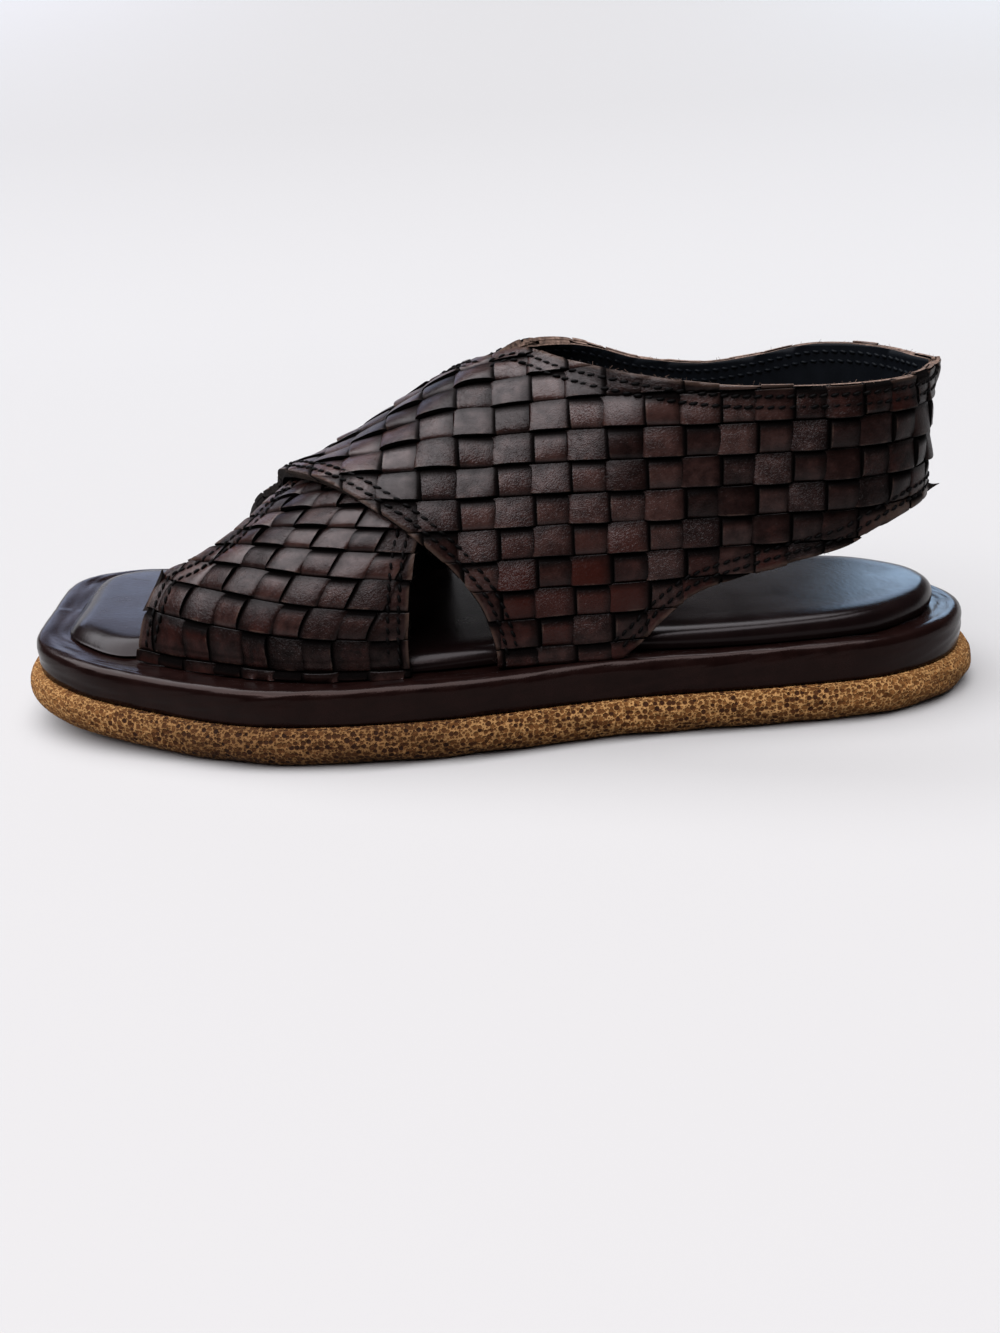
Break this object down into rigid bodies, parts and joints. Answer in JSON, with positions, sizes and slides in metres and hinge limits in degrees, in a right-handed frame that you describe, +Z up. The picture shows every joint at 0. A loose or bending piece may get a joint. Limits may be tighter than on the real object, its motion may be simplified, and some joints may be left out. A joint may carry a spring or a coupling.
{
  "type": "slingback sandal",
  "caption": "Left slingback sandal with woven leather straps crossing over the instep and round the heel, on a leather-wrapped platform with a foam outsole.",
  "frame": {"origin": "on the ground, under the middle of the sole's bounding box", "axes": "-X to the toe, +X to the heel, -Y to the outer side of the foot, +Z up"},
  "size_m": [0.2878, 0.1166, 0.1009],
  "materials": {
    "outsole_foam": "matte, open-pored",
    "midsole_leather": "satin",
    "insole_leather": "satin",
    "woven_leather": "waxed"
  },
  "bodies": {
    "root": {"outsole": "outsole_foam", "midsole": "midsole_leather", "insole": "insole_leather", "upper": "woven_leather"}
  },
  "joints": []
}
